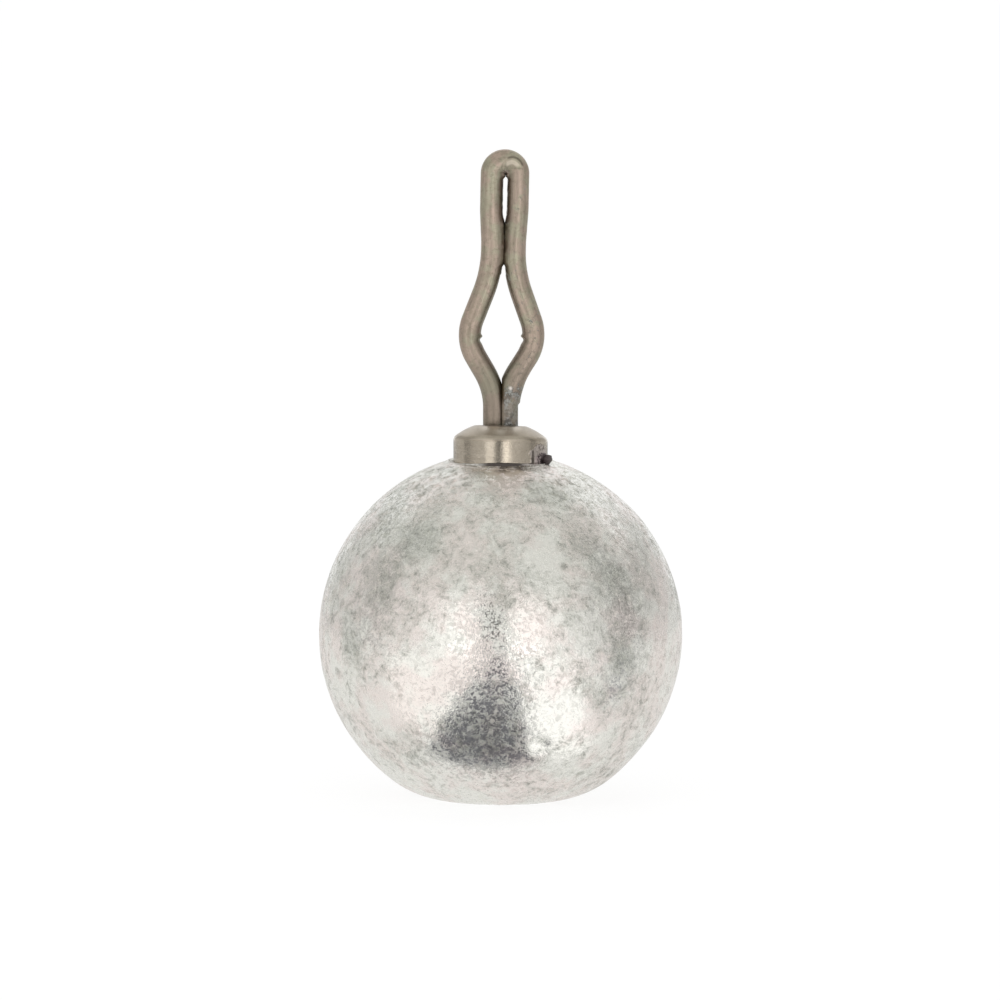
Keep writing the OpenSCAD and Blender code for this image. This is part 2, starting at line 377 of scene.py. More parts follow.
# The sheets on the table: colour, height above the floor, outline seen from above
for name, colour, height, outline in (
        # the wedge is a painted shadow: a dark sheet where the camera's shadow lies on the table
        ("table_shadow_wedge", (0.17, 0.17, 0.185), 0.03, (
            (-3.45, -4.15), (-1.0, -4.4), (1.6, -4.55), (1.65, -8.6), (2.1, -12.4), (1.6, -24),
            (1.0, -42), (-1.5, -75), (-10, -75), (-4.4, -42), (-3.4, -24), (-3.8, -12), (-3.8, -8))),
        ("table_left", (1.02, 1.01, 0.98), 0.02, (
            (-3.9, -5.0), (-3.6, -12), (-3.2, -24), (-10, -75), (-72, -24), (-22, -8.0), (-8, -4.6))),
        ("table_right", (1.13, 1.12, 1.10), 0.02, (
            (1.8, -6.0), (2.6, -4.2), (4.6, -3.6), (6.3, -6.2), (12, -11.5), (50, -44), (-1.5, -75),
            (1.6, -24), (2.0, -12))),
        ("table_seam", (0.40, 0.40, 0.41), 0.025, (
            (7.4, -5.4), (10.5, -6.4), (27, -9.6), (68, -17), (69, -5), (27, -3.4), (15, -3.6),
            (9.2, -4.0)))):
    sheet(name, colour, [(x, y, height) for x, y in outline])

# The ring of table further out: first and last azimuth, and how bright it is near and far
for name, first, last, near_level, far_level in (
        ("back", 100, 260, 0.45, 1.00), ("left_seam", -100, -80, 0.08, 0.76),
        ("left_wing", -80, -60, 0.33, 0.72), ("left", -60, -36, 0.42, 0.72),
        ("left_lamp", -36, -16, 1.75, 1.15), ("camera", -16, 4, 0.17, 0.48),
        ("lamp_start", 4, 10, 1.60, 1.20), ("right_lamp", 10, 21, 2.90, 1.35),
        ("lamp_end", 21, 28, 1.40, 1.10), ("right", 28, 78, 0.44, 0.72),
        ("right_seam", 78, 100, 0.21, 0.76)):
    for part, level, near, far in (("near", near_level, 70, 105), ("far", far_level, 105, 178)):
        colour = (level, level, level * 0.985)
        screen("table_%s_%s" % (name, part), colour, first, last, (near, 0.04), (far, 0.04))


# %% [markdown]
# The screens light nothing but reflections, so two area lamps give the light for the
# glue and cast the faint shadow. They stand where the bright screens are and aren't
# seen in the metal themselves.

# %% Soft lamps
LAMP_AWAY = 148
for name, azimuth, radiance in (("left_lamp", -30, 1.15), ("right_lamp", 26, 1.1)):
    turn = math.radians(azimuth)
    lamp = bpy.data.lights.new(name, "AREA")
    lamp.shape = "RECTANGLE"
    lamp.size, lamp.size_y = 0.12, 0.08
    lamp.energy = radiance * math.pi * lamp.size * lamp.size_y
    holder = bpy.data.objects.new(name, lamp)
    bpy.context.scene.collection.objects.link(holder)
    holder.location = Vector((math.sin(turn) * LAMP_AWAY, -math.cos(turn) * LAMP_AWAY, 42)) * MM
    holder.rotation_euler = (math.pi / 2, 0, turn)
    holder.visible_camera = holder.visible_glossy = False
    print(name, "gives", round(lamp.energy, 4), "W")

# %% [markdown]
# ## The ball's finish
# Small tungsten balls are pressed from powder, sintered and tumbled. What is left is a
# bright silver skin full of pits, with duller patches where the tumbling didn't reach.
# Painting them on by hand would take a picture, so bright and dull are two base colours
# that clouds of two sizes mix. Only the largest patches are placed one by one, in shares
# of the ball's radius to the right and up, as the camera sees them.

# %% Places on the ball's front
def to_camera(right, up):
    """A direction on the ball's front from its place in the picture, as shares of its radius."""
    near = math.sqrt(1 - right ** 2 - up ** 2)
    s, c = math.sin(ELEVATION), math.cos(ELEVATION)
    return Vector((right, up * s - near * c, up * c + near * s))


def on_ball(right, up):
    """The point of the ball's skin at that place, in millimetres."""
    return to_camera(right, up) * BALL_R + Vector((0, 0, BALL_Z))


DIMPLE = (0.225, -0.60)
# Each patch: its place in the picture, and its radius in millimetres
DULL_PATCHES = [(0.21, 0.79, 1.1), (0.42, 0.49, 1.0), (0.60, 0.30, 1.1), (0.66, -0.12, 0.9),
                (0.0, 0.21, 0.7), (-0.67, 0.27, 1.2), (-0.42, 0.54, 1.2), (-0.82, -0.08, 0.9),
                (0.54, -0.36, 0.6), (-0.10, -0.56, 1.9), (0.43, -0.30, 0.6), (-0.34, 0.70, 0.8)]
CLEAN_PATCHES = [(-0.38, -0.25, 1.6), (0.32, -0.40, 1.3), (0.14, 0.03, 0.8), (-0.19, 0.03, 1.0),
                 (-0.64, -0.40, 1.2), (0.04, 0.86, 1.2), (0.22, 0.44, 0.8), (-0.13, 0.19, 0.7),
                 (-0.53, 0.26, 0.5)]
print(len(DULL_PATCHES), "dull patches and", len(CLEAN_PATCHES), "clean ones")


# %% [markdown]
# The dull share is a sum: broad clouds, finer mottling, the patches above, and a rise over
# the upper part of the ball, which is a painted reflection of the grey roof. It sets the
# skin's colour, the density of the pits and part of the roughness. Frosted grains, rough
# beside the smooth skin, break up the edge of every reflection. Finest of all are the
# bumps, a few microns deep.

# %% Tumbled silver
def tumbled_silver():
    """Bright silver with duller patches, pits, frosted grains and painted shade under the barrel."""
    f = Finish("tumbled_silver")
    place = f.millimetres()
    z = f.parts(place)[2]
    broad = f.cloud(place, 0.42, 3.0, 0.6)
    mottle = f.cloud(place, 3.0, 4.0, 0.72, 0.6)
    grain = f.cloud(place, 8.5, 3.0, 0.7)
    frost = f.cloud(place, 5.2, 3.0, 0.75, 0.8).between(0.50, 0.59)
    curls = f.cloud(place, 4.6, 2.0, 0.6, 1.6).between(0.50, 0.60)
    fine = f.cloud(place, 17.0, 2.0, 0.6)
    blush = f.cloud(place, 0.75, 3.0, 0.6)
    streaks = f.cloud(f.millimetres((0.5, 0.5, 14.0)), 1.0, 3.0, 0.7)
    low = 1 - z.between(0.9, 2.3)
    # From 5.6 mm up the share rises: a painted reflection of the grey roof, darker and duller.
    dull_and_painted_top = (broad - 0.45) * 2.0 + (mottle - 0.5) * 3.2 + z.between(5.6, 8.0) * 0.35
    for right, up, size in DULL_PATCHES:
        dull_and_painted_top += f.near(place, on_ball(right, up), size) * 0.55
    for right, up, size in CLEAN_PATCHES:
        dull_and_painted_top -= f.near(place, on_ball(right, up), size) * 0.9
    dull_and_painted_top = dull_and_painted_top.limited()
    dimple = f.near(place, on_ball(*DIMPLE), 0.55)
    speck = grain.between(0.50, 0.68) * (dull_and_painted_top * 0.6 + 0.2) + mottle.between(0.54, 0.70) * dull_and_painted_top * 0.8
    speck = speck.limited()
    bright = f.tint(blush.between(0.42, 0.58), (0.925, 0.92, 0.88), (0.925, 0.86, 0.83))
    skin = f.tint(dull_and_painted_top * 0.62, bright, (0.53, 0.545, 0.495))
    skin = f.tint(curls * (dull_and_painted_top * 0.22 + 0.06), skin, (0.42, 0.43, 0.40))
    skin = f.tint(speck * 0.6, skin, (0.33, 0.335, 0.31))
    # Painted shade on the ball just under the barrel's front, mottled.
    shade_under_barrel = f.near(place, (0.08, -1.72, 10.56), 0.42) + f.near(place, (0.62, -1.58, 10.56), 0.35)
    shade_under_barrel = shade_under_barrel * mottle.between(0.40, 0.55) * (0.5 + grain)
    skin = f.tint((shade_under_barrel * 0.8).limited(), skin, (0.12, 0.095, 0.085))
    brushed = z.between(9.5, 10.1)
    roughness = 0.07 + dull_and_painted_top * 0.13 + frost * (1 - dimple) * 0.55 + low * 0.1 + brushed * 0.22
    speckles = f.relief(grain.between(0.46, 0.66) * (dull_and_painted_top * 0.6 + 0.4), 0.008)
    skin_relief = f.relief(fine + low * streaks * 1.5, 0.003, speckles)
    return f.done(colour=skin, roughness=roughness, metallic=1.0, normal=skin_relief)


# %% [markdown]
# ## The ball
# The ball is a pressed lump of metal with a flat to stand on and a hole for the swivel.
# A ready-made sphere has neither, so the outline is drawn as a chain of edges: the flat,
# a tumbled edge, the round side, the chamfered mouth and the socket. Each arc is one
# vertex spun about its centre, so no point is worked out by hand. The chain is then
# spun about the upright axis.

# %% Arcs and turned shapes
def arc(bm, start, centre, degrees, steps):
    """Spins one vertex about a centre in the XZ plane. Returns the arc's last vertex."""
    made = bmesh.ops.spin(bm, geom=[start], cent=centre, axis=(0, 1, 0),
                          angle=math.radians(degrees), steps=steps)
    return [v for v in made["geom_last"] if isinstance(v, bmesh.types.BMVert)][0]


def line(bm, start, end, steps=1):
    """Extrudes one vertex along a straight line. Returns the line's last vertex."""
    step = (Vector(end) - start.co) / steps
    for _ in range(steps):
        made = bmesh.ops.extrude_vert_indiv(bm, verts=[start])["verts"]
        start = made[0]
        bmesh.ops.translate(bm, vec=step, verts=[start])
    return start


def turned(bm, steps):
    """Spins the whole chain of edges about the upright axis into a closed shape."""
    bmesh.ops.spin(bm, geom=bm.verts[:] + bm.edges[:], cent=(0, 0, 0), axis=(0, 0, 1),
                   angle=2 * math.pi, steps=steps, use_merge=True)
    bmesh.ops.remove_doubles(bm, verts=bm.verts, dist=1e-5)
    bmesh.ops.recalc_face_normals(bm, faces=bm.faces)


# %% [markdown]
# The ball's outline starts at the middle of the flat and ends at the middle of the
# socket's floor. The socket is hidden by glue and barrel, but it is there, so the ball
# is the same closed shape as the CAD's.

# %% Ball
BASE_EDGE_R, BASE_EDGE_X = 2.95, 1.65
bm = bmesh.new()
tangent = math.degrees(math.atan2(BASE_EDGE_X, BALL_Z - BASE_EDGE_R))
mouth = math.degrees(math.asin(MOUTH_R / BALL_R))
end = line(bm, bm.verts.new((0, 0, 0)), (BASE_EDGE_X, 0, 0), 6)
end = arc(bm, end, (BASE_EDGE_X, 0, BASE_EDGE_R), -tangent, 20)
end = arc(bm, end, (0, 0, BALL_Z), -(180 - tangent - mouth), 170)
end = line(bm, end, (SOCKET_R, 0, MOUTH_Z - 0.1), 2)
end = line(bm, end, (SOCKET_R, 0, SOCKET_FLOOR), 8)
line(bm, end, (0, 0, SOCKET_FLOOR), 3)
turned(bm, 384)
print("ball has", len(bm.verts), "vertices")

# %% [markdown]
# The tumbling leaves broad low spots and one round dimple low on the front. A bump in
# the material could fake them, but their outlines and the mesh would stay perfect. So
# each outer vertex moves inwards along its own radius by a few hundredths of a
# millimetre, and the ball stays inside its CAD box.

# %% Dents in the ball
def bump_at(x, middle, width):
    """1 in the middle, falling softly to 0 on both sides."""
    return math.exp(-((x - middle) / width) ** 2)


def step_at(x, low, high):
    """0 below low, 1 above high, and a soft step between."""
    t = min(1.0, max(0.0, (x - low) / (high - low)))
    return t * t * (3 - 2 * t)


dimple = to_camera(*DIMPLE)
middle = Vector((0, 0, BALL_Z))
DIMPLE_DEPTH, DIMPLE_R = 0.10, 0.32
# Low spots of three sizes: how deep, how close together, where in the noise they start
LOW_SPOTS = ((0.045, 2.6, (3, 1, 2)), (0.010, 11, (7, 5, 1)), (0.005, 34, (0, 0, 0)))
for v in bm.verts:
    out_way = v.co - middle
    inside = math.hypot(v.co.x, v.co.y) < MOUTH_R + 0.02 and v.co.z > 2
    if inside or out_way.length < 4.9:
        continue
    n = out_way.normalized()
    hollow = DIMPLE_DEPTH * bump_at((n - dimple).length * BALL_R, 0, DIMPLE_R)
    for depth, scale, start in LOW_SPOTS:
        hollow += depth * (0.5 + 0.5 * noise.noise(n * scale + Vector(start)))
    fade = min(1.0, v.co.z / 1.2)
    v.co -= n * hollow * fade
ball = piece_from(bm, "tumbled_ball", tumbled_silver())
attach(ball, "weight")
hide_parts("ball")


# %% [markdown]
# ## Nickel on the barrel and the wire
# Both are plated brass and steel that have gone a warm grey-brown. The plating is
# satin, with fine marks along the drawn wire and round the turned barrel. Brushed metal
# can be made with the shader's own anisotropy. Noise that is drawn out along the marks
# is used here, because it shows each single scratch when one looks close.

# %% Warm nickel
def warm_nickel(name, marks, scars=None):
    """Satin nickel with drawn-out marks. A function may lay scars over it."""
    f = Finish(name)
    place = f.millimetres()
    drawn = f.cloud(f.millimetres(marks), 1.0, 3.0, 0.65)
    cloud = f.cloud(place, 1.6, 3.0, 0.6)
    grain = f.cloud(place, 12.0, 3.0, 0.65)
    share = (cloud * 0.8 + drawn * 0.5 - 0.2).limited()
    colour = f.tint(share, (0.39, 0.335, 0.265), (0.62, 0.56, 0.475))
    colour = f.tint(grain.between(0.56, 0.7) * 0.35, colour, (0.29, 0.25, 0.20))
    roughness = 0.07 + cloud * 0.07 + grain * 0.06
    relief = f.relief(grain + drawn * 0.8, 0.0035)
    if scars is not None:
        colour, roughness, relief = scars(f, place, colour, roughness, relief)
    return f.done(colour=colour, roughness=roughness, metallic=1.0, normal=relief)


# %% [markdown]
# ## The swivel barrel
# A small turned tube whose ends are rolled over into shallow domes. Its half section
# is drawn from the middle up with arcs like those of the CAD model, mirrored, and
# spun. The wall is really there, because one sees into the neck beside the wire. The
# upper end was rolled a little crooked: its rim is higher in front and on the left,
# and the dome is dished round the neck.

# %% Barrel
DOME_R, WALL, NECK_R = 2.28, 0.36, 0.6
RIM_R, SHELL_R, SHELL_OFF = 0.2, 2.34, -0.075
DISH_DEPTH, DISH_WIDTH = 0.06, 0.22
ROLLED_FROM, FRONT_UP, LEFT_UP = 10.5, 0.12, 0.024
SMEAR = (1.22, -0.80, 10.78)


def barrel_chain(bm, flip):
    """Half of the barrel's outside, from its middle to the neck, as a chain of edges."""
    ex = BARREL_R - RIM_R
    ez = math.sqrt((SHELL_R - RIM_R) ** 2 - ex ** 2)
    at = lambda z: BARREL_MID + flip * (SHELL_OFF + z)
    end = line(bm, bm.verts.new((BARREL_R, 0, BARREL_MID)), (BARREL_R, 0, at(ez)), 20)
    lean = math.degrees(math.atan2(ex, ez))
    end = arc(bm, end, (ex, 0, at(ez)), flip * -(90 - lean), 8)
    stop = math.degrees(math.asin(NECK_R / SHELL_R))
    return arc(bm, end, (0, 0, at(0)), flip * -(lean - stop), 12)


def barrel_inside(bm, end, flip):
    """The neck, the inside of the dome and the bore, back to the middle."""
    bore, dome = BARREL_R - WALL, DOME_R - WALL
    at = lambda z: BARREL_MID + flip * (DOME_OFF + z)
    end = line(bm, end, (NECK_R, 0, at(math.sqrt(dome ** 2 - NECK_R ** 2))), 2)
    angle = math.degrees(math.asin(bore / dome) - math.asin(NECK_R / dome))
    end = arc(bm, end, (0, 0, at(0)), flip * angle, 8)
    return line(bm, end, (bore, 0, BARREL_MID), 6)


bm = bmesh.new()
for flip in (1, -1):
    barrel_inside(bm, barrel_chain(bm, flip), flip)
bmesh.ops.remove_doubles(bm, verts=bm.verts, dist=1e-5)
turned(bm, 192)
for v in bm.verts:
    n = Vector((v.co.x, v.co.y, 0))
    if v.co.z > MOUTH_Z and n.length > 1.2:
        wave = noise.noise(Vector((v.co.x, v.co.y, v.co.z * 0.4)) * 1.7)
        v.co -= n.normalized() * 0.006 * (1 + wave)
    if v.co.z > BARREL_TOP - 0.25:
        v.co.z -= DISH_DEPTH * (1 - step_at(n.length, NECK_R, NECK_R + DISH_WIDTH))
    crooked = min(1.0, max(0.0, (v.co.z - ROLLED_FROM) / 0.5))
    v.co.z -= crooked * (FRONT_UP * v.co.y + LEFT_UP * v.co.x)
print("barrel from", *(round(limit(v.co.z for v in bm.verts), 2) for limit in (min, max)), "mm")

# %% [markdown]
# The barrel's own marks are laid over the shared nickel: a duller dome with a painted
# highlight at its front, painted shade close round the wire, and the film of glue that
# was wiped over its foot on the right. Faces with a material of their own would give them
# hard edges. A mask between two colours fades out instead, as dirt does.

# %% Marks on the barrel
def smeared(f, place, colour, roughness, relief):
    """A film of dark glue with pale crumbs, wiped over the barrel's foot; its dome is duller, with a
    painted highlight in front and painted shade round the neck.
    """
    x, y, z = f.parts(place)
    dome = z.between(BARREL_TOP - 0.52, BARREL_TOP - 0.35)
    roughness = roughness + dome * 0.2
    patches = f.cloud(place, 2.6, 3.0, 0.6).between(0.40, 0.60)
    shaded = 1 - f.near(place, (0, -0.75, BARREL_TOP - 0.2), 0.75)
    colour = f.tint(dome * shaded * (0.12 + patches * 0.28), colour, (0.30, 0.26, 0.21))
    # The front of the dome is painted pale, a painted highlight.
    colour = f.tint(dome * (1 - shaded), colour, (0.90, 0.83, 0.74))
    # Painted shade: the dome is darkened close round the wire's neck.
    neck_shade = 1 - f.distance(place, (0, 0, BARREL_TOP)).between(0.84, 0.94)
    colour = f.tint(neck_shade * (1 - abs(x).between(0.52, 0.66)) * 0.65, colour, (0.13, 0.105, 0.085))
    crumbs = f.cloud(place, 7.0, 3.0, 0.65)
    film = (f.near(place, SMEAR, 0.62) * 2.2 + (f.cloud(place, 3.5) - 0.5) * 2.5).between(0.5, 0.9)
    edge = 1 - abs(x - 1.01).between(0.015, 0.05)
    edge = edge * (1 - z.between(11.0, 11.1)) * (1 - y.between(-0.6, -0.5))
    dirt = f.tint(crumbs.between(0.40, 0.56), (0.10, 0.082, 0.076), (0.52, 0.465, 0.44))
    colour = f.tint(edge * 0.8, f.tint(film * 0.8, colour, dirt), (0.06, 0.05, 0.04))
    return colour, roughness + film * 0.2, f.relief(crumbs * film, 0.03, relief)


barrel = piece_from(bm, "turned_barrel", warm_nickel("barrel_nickel", (1.2, 1.2, 22.0), smeared))
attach(barrel, "weight")
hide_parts("swivel_barrel")

# %% [markdown]
# ## The wire clip
# One length of drawn wire is folded double. Its legs are pressed together in the
# barrel, spread into an open eye, meet again at the pinch and end in a long slot under
# the fold. A curve with a round bevel would sweep it too, but its vertices don't know
# where on the wire they are. So a ring of vertices walks along the wire's corners: it is
# extruded and moved along each straight, and extruded and turned round each bend. Every
# vertex remembers how far along the wire it is and on which side, for the finish.

# %% A ring of vertices that walks along a path
WIRE_R, FOOT_Z, EYE_LEAN = 0.35, 12.87, math.radians(1.2)


def leaned(x, z):
    """A point of the eye, turned a little about the foot, as it was set in by hand."""
    c, s = math.cos(EYE_LEAN), math.sin(EYE_LEAN)
    return Vector((x * c + (z - FOOT_Z) * s, 0, FOOT_Z + (z - FOOT_Z) * c - x * s))


def walk(bm, corners, bends, segments, step):
    """Sweeps a round wire along corners in the XZ plane. Returns [(ring, heading, way gone)]."""
    heads = [math.atan2(b.z - a.z, b.x - a.x) for a, b in zip(corners, corners[1:])]
    turns = [(b - a + math.pi) % (2 * math.pi) - math.pi for a, b in zip(heads, heads[1:])]
    turns = [0.0, *turns, 0.0]
    backs = [r * math.tan(abs(t) / 2) for r, t in zip(bends, turns)]
    ring = bmesh.ops.create_circle(bm, segments=segments, radius=WIRE_R,
                                   matrix=Matrix.Translation(corners[0]))["verts"]
    edges, rings, gone = list({e for v in ring for e in v.link_edges}), [], 0.0
    rings.append((ring, heads[0], gone))

    def grown():
        made = bmesh.ops.extrude_edge_only(bm, edges=edges)["geom"]
        return ([g for g in made if isinstance(g, bmesh.types.BMVert)],
                [g for g in made if isinstance(g, bmesh.types.BMEdge)
                 and all(len(v.link_edges) == 3 for v in g.verts)])

    for i, head in enumerate(heads):
        way = Vector((math.cos(head), 0, math.sin(head)))
        length = (corners[i + 1] - corners[i]).length - backs[i] - backs[i + 1]
        if length > 1e-4:
            count = max(1, round(length / step))
            for _ in range(count):
                ring, edges = grown()
                bmesh.ops.translate(bm, vec=way * length / count, verts=ring)
                gone += length / count
                rings.append((ring, head, gone))
        t, r = turns[i + 1], bends[i + 1]
        if t:
            side = math.copysign(1, t)
            start = corners[i + 1] - way * backs[i + 1]
            centre = start + Vector((-way.z, 0, way.x)) * r * side
            count = max(2, round(abs(t) * (r + WIRE_R) / step))
            for k in range(count):
                ring, edges = grown()
                bmesh.ops.rotate(bm, cent=centre, matrix=Matrix.Rotation(-t / count, 3, "Y"), verts=ring)
                gone += abs(t) * r / count
                rings.append((ring, head + t * (k + 1) / count, gone))
    return rings


# %% [markdown]
# The path goes up the right leg, round the right half of the eye and over the fold, and
# comes down by the same corners on the left. The fold is a half circle, the others are
# gentle bends, each with the radius that the photograph shows.

# %% Sweep the wire
LEG_X, BELLY_X, PINCH_X, SLOT_X = 0.2, 1.133, 0.354, 0.41
LEG_LOW, BELLY_Z, PINCH_Z, NIP_Z, FLARE_Z, CREST_Z = 10.93, 14.405, 16.505, 17.485, 18.435, 19.595
# The right half of the eye from belly to fold, and the bend at each corner of that side
EYE = [(BELLY_X, BELLY_Z), (PINCH_X, PINCH_Z), (PINCH_X, NIP_Z), (SLOT_X, FLARE_Z),
       (SLOT_X, CREST_Z + SLOT_X)]
BENDS = [0, 2.2, 1.35, 3.9, 2, 2, SLOT_X]
legs = [Vector((LEG_X, 0, LEG_LOW)), Vector((LEG_X, 0, FOOT_Z))]
other_legs = [Vector((-LEG_X, 0, FOOT_Z)), Vector((-LEG_X, 0, LEG_LOW))]
half = [leaned(x, z) for x, z in EYE]
other_half = [leaned(-x, z) for x, z in reversed(EYE)]
corners, bends = legs + half + other_half + other_legs, BENDS + BENDS[::-1]
bm = bmesh.new()
place = bm.verts.layers.float_vector.new("wire_place")
rings = walk(bm, corners, bends, 64, 0.045)
whole = rings[-1][2]
print("wire", round(whole, 1), "mm long, in", len(rings), "rings")

# %% [markdown]
# The tool marks are small moves of the swept vertices: the legs' flat inner sides, the
# notch and burr that the pliers left in both corners of the eye, the swelling beside
# the right leg's foot, and the flat that was pressed inside the fold. Cutting them with
# booleans would leave ragged faces, and these marks are softer than that.

# %% Tool marks on the wire
SEAM_X, PRESS_X, PRESS_Z = 0.04, 0.35, 19.78
NOTCH, BURR, SWELL, PRESS, GROOVE = 0.045, 0.06, 0.05, 0.035, 0.13
for ring, head, gone in rings:
    centre = sum((v.co for v in ring), Vector()) / len(ring)
    inward = Vector((-math.sin(head), 0, math.cos(head)))
    right_leg = gone < whole / 2
    for v in ring:
        off = v.co - centre
        inner = off.dot(inward)
        v[place] = (inner, off.y, gone)
        thin = 0.008 * (1 + noise.noise(Vector((gone * 0.9, 4, 0))))
        move = -off * thin
        # The notch and the burr in the corner of the eye
        belly = centre.z - (BELLY_Z - 0.02)
        if inner > 0 and abs(belly) < 0.8:
            face = inner / WIRE_R
            move -= inward * face * NOTCH * bump_at(belly, -0.05, 0.13)
            move += inward * face ** 4 * BURR * bump_at(belly, 0.10, 0.075) * bump_at(off.y, -0.05, 0.18)
        # The swelling outside the right leg's foot
        if right_leg and inner < 0:
            swell = step_at(centre.z, FOOT_Z - 0.50, FOOT_Z - 0.40)
            swell *= 1 - step_at(centre.z, FOOT_Z, FOOT_Z + 0.8)
            move -= inward * SWELL * swell * (-inner / WIRE_R)
        # The rough inner sides of the slot, nearly closed below it and at the fold
        drift = 0.016 + 0.024 * bump_at(centre.z, NIP_Z, 0.5)
        if inner > 0.1 and centre.z > PINCH_Z:
            rough = noise.noise(v.co * 9) + 0.6 * noise.noise(v.co * 21)
            close = step_at(centre.z, 16.72, 16.84) * (1 - step_at(centre.z, 17.95, 18.30))
            close += 1.2 * step_at(centre.z, CREST_Z - 0.17, CREST_Z - 0.08)
            move += inward * (inner / WIRE_R) ** 2 * (0.012 * rough + 0.055 * close * (1 + 0.4 * rough))
            move.x += drift * (inner / WIRE_R) ** 2
        # The flat that was pressed in beside the fold, in front
        press_off = Vector((v.co.x - PRESS_X, 0, v.co.z - PRESS_Z)).length
        if off.y < 0 and centre.z > FLARE_Z and v.co.z > PRESS_Z:
            move += Vector((0, PRESS, 0)) * (1 - step_at(press_off, 0.28, 0.36))
        v.co += move
        # The two sides never cross the seam between them, and the legs meet in a groove
        flat_side = leaned(0, v.co.z).x + drift if centre.z > BELLY_Z else SEAM_X
        v.co.x = max(v.co.x, flat_side - 0.002) if right_leg else min(v.co.x, flat_side + 0.002)
        if centre.z < BELLY_Z:
            groove = GROOVE * step_at(centre.z, FOOT_Z - 0.6, FOOT_Z - 0.3)
            v.co.y *= 1 - groove * bump_at(v.co.x, SEAM_X, 0.05)
bmesh.ops.holes_fill(bm, edges=[e for e in bm.edges if e.is_boundary], sides=0)
print("top of the fold at", round(max(v.co.z for v in bm.verts), 2), "mm")

# %% [markdown]
# Inside the barrel the two ends are upset into one flat head, which keeps the clip from
# pulling out. No view shows it, but the mesh is a model in its own right, so it is made
# all the same. It is turned like the barrel, from four straights and one arc, and joins
# the wire as a second shell of the same piece.

# %% The upset head
HEAD_R, HEAD_DOME_R, HEAD_T, HEAD_CHAMFER = 0.9, 1.87, 0.5, 0.2
head_back = math.sqrt(HEAD_DOME_R ** 2 - HEAD_R ** 2) - HEAD_T
head_z = BARREL_MID + DOME_OFF
head = bmesh.new()
back = head_z + head_back
end = line(head, head.verts.new((0, 0, back)), (HEAD_R - HEAD_CHAMFER, 0, back), 2)
end = line(head, end, (HEAD_R, 0, back + HEAD_CHAMFER))
end = line(head, end, (HEAD_R, 0, back + HEAD_T))
arc(head, end, (0, 0, head_z), -math.degrees(math.asin(HEAD_R / HEAD_DOME_R)), 8)
turned(head, 64)
print("head from", *(round(limit(v.co.z for v in head.verts), 2) for limit in (min, max)), "mm")
head_mesh = bpy.data.meshes.new("head")
head.to_mesh(head_mesh)
head.free()
bm.from_mesh(head_mesh)
bpy.data.meshes.remove(head_mesh)
bmesh.ops.recalc_face_normals(bm, faces=bm.faces)


# %% [markdown]
# ## The wire's finish
# Two places on the wire have marks of their own. Over the slot a glint is painted, and
# beside it lies the round flat that was pressed in, with painted shade in its crease and a
# painted highlight inside it. The right leg's foot was filed bare, and a dark line is
# painted along the crack between the two pressed legs.
# Each mark is a mask: distances and steps in millimetres, multiplied together.

# %% Marks on the wire
def fold_marks(f, spot, colour):
    """The painted glint over the slot, and the painted shade and highlight of the flat pressed beside it.
    """
    x, y, z = f.parts(spot)
    # A painted glint over the slot.
    slot_glint = f.near(spot, (0.165, -0.22, 19.60), 0.17)
    colour = f.tint(slot_glint * 0.7, colour, (0.80, 0.70, 0.66))
    rim = f.distance(spot, (PRESS_X, -0.3, PRESS_Z))
    upper = z.between(19.80, 19.90) * (1 - y.between(-0.3, -0.1))
    # Painted shade in the crease at the upper edge of the pressed flat.
    crease_shade = (1 - abs(rim - 0.345).between(0.015, 0.05)) * upper * x.between(0.17, 0.27)
    colour = f.tint(crease_shade * 0.7, colour, (0.085, 0.07, 0.055))
    # A painted highlight inside the pressed flat.
    pressed = (1 - rim.between(0.23, 0.29)) * rim.between(0.10, 0.16) * upper * x.between(0.14, 0.22)
    return f.tint(pressed * 0.7, colour, (0.74, 0.66, 0.55))


def foot_masks(f, spot, cloud, grain):
    """How bare the right leg's foot is, and where the crack between the legs runs."""
    x, y, z = f.parts(spot)
    foot = 1 - z.between(FOOT_Z - 0.7, FOOT_Z + 0.5) + (cloud - 0.5) * 1.5 + (grain - 0.5) * 2.2
    foot = foot.between(0.25, 0.75)
    filed = foot * x.between(SEAM_X + 0.03, SEAM_X + 0.10) * (0.35 + cloud.between(0.4, 0.6) * 0.65)
    crack = 1 - abs(x - SEAM_X - 0.01).between(0.015, 0.07)
    return filed, crack * (1 - z.between(FOOT_Z + 0.15, FOOT_Z + 0.5))
